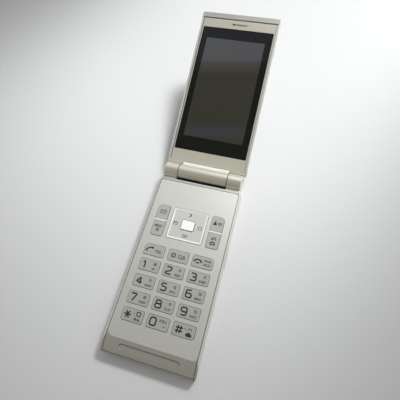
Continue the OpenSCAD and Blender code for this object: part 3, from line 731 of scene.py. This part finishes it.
# %% Skeletons
SQUARE = [(.5, 0), (1, 0), (1, 1), (0, 1), (0, 0), (.5, 0)]
SIGNS = {
    "1": [[(.12, .80), (.50, 1), (.50, 0)]],
    "2": [[(.03, 1), (.95, 1), (.95, .56), (0, .26), (0, 0), (1, 0)]],
    "3": [[(.05, 1), (.93, 1), (.93, .53), (.35, .53)], [(.6, .53), (1, .53), (1, 0), (0, 0)]],
    "4": [[(.72, 0), (.72, 1), (0, .28), (1, .28)]],
    "5": [[(.92, 1), (.08, 1), (.08, .57), (.97, .57), (.97, 0), (0, 0)]],
    "6": [[(.90, 1), (.04, 1), (.04, 0), (.97, 0), (.97, .56), (.04, .56)]],
    "7": [[(0, 1), (1, 1), (.38, 0)]],
    "8": [[(.5, .53), (.92, .53), (.92, 1), (.08, 1), (.08, .53), (.5, .53)],
          [(.5, .53), (1, .53), (1, 0), (0, 0), (0, .53), (.5, .53)]],
    "9": [[(.10, 0), (.96, 0), (.96, 1), (.03, 1), (.03, .44), (.96, .44)]],
    "0": [[(.5, 0), (.97, 0), (.97, 1), (.03, 1), (.03, 0), (.5, 0)]],
    "star": [[(0, .5), (1, .5)], [(.25, .08), (.75, .92)], [(.25, .92), (.75, .08)]],
    "hash": [[(.22, 0), (.36, 1)], [(.64, 0), (.78, 1)], [(0, .3), (1, .3)], [(0, .7), (1, .7)]],
    "frame": [SQUARE],
    "envelope": [SQUARE, [(0, 1), (.5, .42), (1, 1)]],
    "book": [[(.5, .1), (0, .2), (0, 1), (.5, .88), (1, 1), (1, .2), (.5, .1), (.5, .88)]],
    "list": [[(0, 0), (1, 0)], [(0, .5), (1, .5)], [(0, 1), (1, 1)]],
    "camera": [[(.5, 0), (1, 0), (1, .75), (.72, .75), (.62, 1), (.38, 1), (.28, .75), (0, .75),
                (0, 0), (.5, 0)]],
    "bow": [[(0, 0), (.1, .75), (.5, 1), (.9, .75), (1, 0)]],
    "lifted": [[(0, 0), (.03, .5), (.4, .96), (1, 1)]],
    "lifted ends": [[(0, .02), (.04, .32)], [(.76, .98), (1, 1)]],
    "laid": [[(0, 0), (.06, .7), (.5, 1), (.94, .7), (1, 0)]],
    "laid ends": [[(0, 0), (.03, .35)], [(.97, .35), (1, 0)]],
    "dash": [[(.3, .5), (.7, .5)]],
    "arrow": [[(0, 0), (1, .5), (0, 1)]],
    "car": [[(0, .1), (0, .5), (.2, .55), (.32, 1), (.68, 1), (.8, .55), (1, .5), (1, .1),
             (0, .1)]],
}
print(len(SIGNS), "figures and signs")

# %% Stroke with rounded corners
BOW = 0.4


def add_stroke(curve, points, box, corner):
    """One stroke in a box of (centre x, centre y, width, height), its corners rounded."""
    x, y, width, height = box
    spots = [Vector((x + (a - 0.5) * width, y + (b - 0.5) * height, 0)) for a, b in points]
    stations = [(spots[0],) * 3]
    for before, spot, after in zip(spots, spots[1:], spots[2:]):
        back, on = [(end - spot) * min(0.5, corner / (end - spot).length)
                    for end in (before, after)]
        stations.append((spot + back, spot + back, spot + back * BOW))
        stations.append((spot + on, spot + on * BOW, spot + on))
    stations.append((spots[-1],) * 3)
    spline = curve.splines.new("BEZIER")
    spline.bezier_points.add(len(stations) - 1)
    for point, (place, left, right) in zip(spline.bezier_points, stations):
        point.handle_left_type = point.handle_right_type = "FREE"
        point.co, point.handle_left, point.handle_right = place, left, right


print("handles reach", round(100 - 100 * BOW), "% of the way into a corner")

# %% [markdown]
# The ink lies on whatever carries it. So a ray is dropped on the piece at the print's place,
# and the print is set down at the height where it lands. Words and letters, which are too
# small to need a skeleton, come from Blender's own font, made a mesh and fitted to a box.

# %% Inks and helpers
DARK = 0
GREY = 1
INK_HEIGHT = 0.014 * MM
WORD_WEIGHT = 0.035
WORD_DEPTH = 0.01
DOWN = Vector((0, 0, -1))
inks = [plain_finish("dark ink", (0.032, 0.028, 0.022), 0.5, depth=1e-6),
        plain_finish("grey ink", (0.075, 0.071, 0.058), 0.5, depth=1e-6)]
bpy.context.view_layer.update()


def as_mesh(data):
    """The mesh of a curve or text, and nothing else left behind."""
    holder = bpy.data.objects.new("holder", data)
    mesh = bpy.data.meshes.new_from_object(holder)
    bpy.data.objects.remove(holder)
    return mesh


def stroke_mesh(strokes, box, width, corner):
    """Strokes of one line width, pressed flat."""
    curve = bpy.data.curves.new("strokes", "CURVE")
    curve.dimensions = "3D"
    curve.resolution_u = 4
    curve.bevel_depth = width / 2
    curve.bevel_resolution = 1
    curve.use_fill_caps = True
    for points in strokes:
        add_stroke(curve, points, box, corner)
    mesh = as_mesh(curve)
    mesh.transform(Matrix.Diagonal((1, 1, 2 * INK_HEIGHT / width, 1)))
    return mesh


def word_mesh(text, box):
    """Letters of the built-in font, fitted to a box."""
    x, y, width, height = box
    curve = bpy.data.curves.new("word", "FONT")
    curve.body = text
    curve.resolution_u = 2
    curve.offset = WORD_WEIGHT
    curve.extrude = WORD_DEPTH
    mesh = as_mesh(curve)
    low = [min(v.co[i] for v in mesh.vertices) for i in range(3)]
    high = [max(v.co[i] for v in mesh.vertices) for i in range(3)]
    grow = [want / (high[i] - low[i]) for i, want in enumerate((width, height, 2 * INK_HEIGHT))]
    mesh.transform(Matrix.Translation((-(low[0] + high[0]) / 2, -(low[1] + high[1]) / 2, 0)))
    mesh.transform(Matrix.Translation((x, y, 0)) @ Matrix.Diagonal((*grow, 1)))
    return mesh


def print_on(node, items):
    """Ink on a key, from items in millimetres.

    A word is (text, dx, dy, width, height, ink). A sign has its name for the text, and ends
    with the width of its line and the reach of its rounded corners.
    """
    low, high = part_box(node)
    middle = [(low[i] + high[i]) / 2 for i in range(2)]
    sheet = bmesh.new()
    for what, dx, dy, width, height, ink, *line in items:
        box = (middle[0] + dx * MM, middle[1] + dy * MM, width * MM, height * MM)
        spot = pieces[node].ray_cast(Vector((box[0], box[1], 1)), DOWN)[1]
        if line:
            mesh = stroke_mesh(SIGNS[what], box, *[size * MM for size in line])
        else:
            mesh = word_mesh(what, box)
        mesh.transform(Matrix.Translation((0, 0, spot.z)))
        start = len(sheet.faces)
        sheet.from_mesh(mesh)
        sheet.faces.ensure_lookup_table()
        for made in sheet.faces[start:]:
            made.material_index = ink
        bpy.data.meshes.remove(mesh)
    return add_to_scene(node + "_print", sheet, inks, node_body[node])


print("inks:", [ink.name for ink in inks])

# %% [markdown]
# ## Prints on the keys: what stands where
#
# A number key carries its figure at the left, a kana at the upper right and three or four
# letters at the lower right, as on any phone of the kind. The other keys carry plain signs,
# laid out in a table: an envelope, a list, a book, a camera, a handset lifted and one laid down.

# %% Number keys
FIGURE_BOX = (-2.65, 0.05, 3.15, 3.75)
FIGURE_LINE = (0.78, 0.95)
KANA = dict(zip("1234567890", "\u3042\u304b\u3055\u305f\u306a\u306f\u307e\u3084\u3089\u308f"))
LETTERS = dict(zip("23456789", ("ABC", "DEF", "GHI", "JKL", "MNO", "PQRS", "TUV", "WXYZ")))


def number_items(digit):
    """What stands on a number key."""
    items = [(digit, *FIGURE_BOX, DARK, *FIGURE_LINE)]
    if digit in LETTERS:
        return items + [(KANA[digit], 3.3, 1.25, 1.75, 1.75, GREY),
                        (LETTERS[digit], 2.65, -1.5, 3.7, 1.35, GREY)]
    if digit == "1":
        return items + [(KANA[digit], 3.0, 1.2, 1.75, 1.75, GREY),
                        (".@", 2.6, -1.5, 2.3, 1.4, GREY)]
    return items + [(KANA[digit] + "\u3092\u3093", 2.6, 1.2, 4.2, 1.6, GREY),
                    ("-", 3.6, -1.2, 1.2, 0.4, GREY)]


prints = [print_on("key_" + digit, number_items(digit)) for digit in KANA]
print("number keys printed:", len(prints))

# %% Other keys
OTHER_KEYS = {
    "key_star": [("star", -2.7, 0, 3.9, 4.0, DARK, 0.7, 0.3),
                 ("dash", 0.5, 1.2, 1.6, 0.5, GREY, 0.4, 0.1),
                 ("frame", 3.0, 1.2, 1.9, 1.8, DARK, 0.5, 0.2),
                 ("A/a", 2.7, -1.4, 3.4, 1.7, GREY)],
    "key_hash": [("hash", -2.6, 0, 3.6, 3.8, DARK, 0.68, 0.3),
                 ("dash", 0.4, 0.9, 1.4, 0.5, DARK, 0.5, 0.1),
                 ("bow", 2.9, 1.0, 1.9, 1.1, GREY, 0.35, 0.3),
                 ("car", 2.7, -1.4, 2.5, 1.3, DARK, 0.8, 0.2),
                 ("dash", 2.7, -1.3, 3.6, 0.5, DARK, 0.8, 0.1)],
    "key_call": [("lifted", -2.6, 0, 3.7, 2.4, DARK, 0.75, 0.9),
                 ("lifted ends", -2.6, 0, 3.7, 2.4, DARK, 1.15, 0.2),
                 ("TEL", 2.3, -0.4, 4.0, 1.6, GREY)],
    "key_clear": [("frame", -2.7, 0, 2.0, 2.1, DARK, 0.6, 0.9),
                  ("dash", -2.7, 0, 1.2, 0.5, GREY, 0.7, 0.1),
                  ("CLR", 2.0, -0.2, 4.4, 2.1, GREY)],
    "key_end": [("laid", -2.6, 0.35, 3.9, 1.6, DARK, 0.8, 0.9),
                ("laid ends", -2.6, 0.3, 3.9, 1.5, DARK, 1.1, 0.2),
                ("dash", -2.6, -0.75, 4.6, 0.5, DARK, 0.75, 0.1),
                ("PWR", 2.7, 1.05, 4.0, 1.35, GREY),
                ("HLD", 2.7, -1.0, 4.0, 1.35, GREY)],
    "key_mail": [("envelope", 0, -0.2, 3.2, 2.1, GREY, 0.34, 0.1)],
    "key_menu": [("MENU", 0, 1.4, 4.5, 1.6, GREY),
                 ("list", 0, -0.9, 1.7, 1.3, DARK, 0.42, 0.1)],
    "key_address": [("dash", -1.3, 0.95, 1.3, 0.5, DARK, 1.15, 0.1),
                    ("bow", -1.3, -0.5, 1.3, 1.3, DARK, 0.8, 0.3),
                    ("dash", -1.3, -0.8, 2.2, 0.5, DARK, 0.9, 0.1),
                    ("book", 1.4, -0.1, 1.7, 1.4, GREY, 0.36, 0.1)],
    "key_camera": [("camera", 0, -1.3, 2.3, 1.7, DARK, 0.62, 0.2),
                   ("dash", 0, -1.4, 0.9, 0.4, DARK, 0.6, 0.2),
                   ("bow", 0.5, 1.3, 1.6, 1.5, DARK, 0.5, 0.3),
                   ("arrow", -0.8, 1.2, 1.0, 1.7, GREY, 0.45, 0.3)],
    "direction_key": [("arrow", 0, 6.4, 1.2, 1.8, DARK, 0.6, 0.4),
                      ("envelope", -7.2, 0, 2.2, 1.7, GREY, 0.32, 0.1),
                      ("frame", 7.2, 0, 1.8, 1.9, GREY, 0.34, 0.3),
                      ("book", 0, -6.3, 2.6, 1.5, GREY, 0.32, 0.1)],
}
prints += [print_on(node, items) for node, items in OTHER_KEYS.items()]
print("keys printed:", len(prints), "with", sum(len(p.data.polygons) for p in prints), "faces")

# %% [markdown]
# ## Table
#
# The phone lies on a plain white table. Its top is a hair below the phone, so that the two
# never share one height. Its paint is nearly even: a large, faint cloud moves the grey.

# %% Table top
TABLE_SIZE = 4
TABLE_GAP = 0.1 * MM
TABLE_GREYS = [(grey,) * 3 for grey in (0.735, 0.755)]
bpy.ops.mesh.primitive_plane_add(size=TABLE_SIZE, location=(0, 0, cad_box[0].z - TABLE_GAP))
floor = bpy.context.object
floor.name = "table_top"
paint = Shader("table paint", Roughness=0.6)
paint.feed(Base_Color=paint.mix(paint.noise(paint.place(), 3), *TABLE_GREYS))
floor.data.materials.append(paint.material)
print("table", TABLE_SIZE, "m wide")

# %% [markdown]
# ## Light
#
# The room is a world in bands, from the side of the person who looks down at the phone to the
# side beyond the lid. Above the person it is dim and warm, with darker stripes that the screen
# mirrors. Beyond the lid the ceiling is bright and slightly cool, and it grows dimmer towards
# the far wall. The screen also mirrors the line between the two, and the panel and the
# barrel take their sheen from it. The walls at the two sides are brighter still, which keeps
# the shadows soft.

# %% World
CEILING_EDGE = (-0.115, 0.973, -0.2)
WARM = (1.05, 1.0, 0.84)
COOL = (0.97, 1.0, 1.07)
BROWN = (1.03, 1.02, 0.72)
BANDS = [(-1.0, 0.42, WARM), (-0.62, 0.38, WARM), (-0.42, 0.26, WARM), (-0.215, 0.25, BROWN),
         (-0.205, 0.31, COOL), (-0.185, 0.28, COOL), (-0.17, 0.24, BROWN), (-0.030, 0.24, BROWN),
         (-0.020, 0.36, WARM), (-0.003, 0.38, WARM), (0.006, 0.62, COOL), (0.25, 0.72, COOL),
         (0.42, 0.76, COOL), (0.56, 0.92, COOL), (0.76, 0.92, COOL), (0.90, 0.62, COOL),
         (1.0, 0.5, COOL)]
SIDE_LIGHT = (1.15, 1.15, 1.18)
SIDE_WALLS = (0.45, 0.7)
ROOM_LIGHT = 0.55


class Sky(Shader):
    """The same kit on the world's own tree."""

    def __init__(self, world):
        self.tree = world.node_tree
        self.surface = self.tree.nodes["Background"]


world = bpy.data.worlds.new("room")
bpy.context.scene.world = world
world.use_nodes = True
sky = Sky(world)
ray = sky.node("ShaderNodeTexCoord", out="Generated")
beyond = sky.node("ShaderNodeVectorMath", {"operation": "DOT_PRODUCT"},
                  {0: ray, 1: CEILING_EDGE}, out="Value")
stops = [((at + 1) / 2, tone(tint, level)) for at, level, tint in BANDS]
room = sky.bands(beyond * 0.5 + 0.5, stops)
aside = sky.ramp(abs(sky.parts(ray)[0]), *SIDE_WALLS)
sky.feed(Color=sky.mix(aside, room, SIDE_LIGHT), Strength=ROOM_LIGHT)
print("room with", len(BANDS), "bands")

# %% [markdown]
# One lamp stands for the window of the room: a square beyond the lid, up and to the right,
# turned back to the phone. It gives the keys and the hinge their light sides and throws the
# shadow on the table. Its narrow beam fades towards the chin.

# %% Lamp
LAMP_AT = (0.165, 0.51, 0.37)
LAMP_AIM = (0.0, 0.165, 0)
LAMP_SIZE = 0.29
LAMP_WATTS = 0.305
LAMP_BEAM = math.radians(22.8)
light = bpy.data.lights.new("window light", "AREA")
light.shape = "SQUARE"
light.size = LAMP_SIZE
light.energy = LAMP_WATTS
light.spread = LAMP_BEAM
light.color = (0.98, 1.0, 1.0)
lamp = bpy.data.objects.new("window light", light)
bpy.context.scene.collection.objects.link(lamp)
lamp.location = LAMP_AT
beam = Vector(LAMP_AIM) - Vector(LAMP_AT)
lamp.rotation_euler = beam.to_track_quat("-Z", "Y").to_euler()
print("lamp", round(beam.length, 2), "m from the place it is turned to")

# %% [markdown]
# ## Camera
#
# The camera is where the photograph was taken from. Its place, turn and focal length were
# worked out from the phone's own straight lines, as a surveyor would.

# %% Camera
CAMERA_AT = (0.03684, -0.03071, 0.17765)
CAMERA_TURN = (24.479, 4.754, 15.529)
CAMERA_LENS = 28.712
camera = bpy.data.objects.new("camera", bpy.data.cameras.new("camera"))
bpy.context.scene.collection.objects.link(camera)
camera.location = CAMERA_AT
camera.rotation_euler = [math.radians(angle) for angle in CAMERA_TURN]
camera.data.lens = CAMERA_LENS
camera.data.clip_start = 0.005
camera.data.dof.use_dof = False
bpy.context.scene.camera = camera
bpy.context.scene.view_settings.view_transform = "Standard"
print("camera looks down from", round(camera.location.z / MM), "mm")
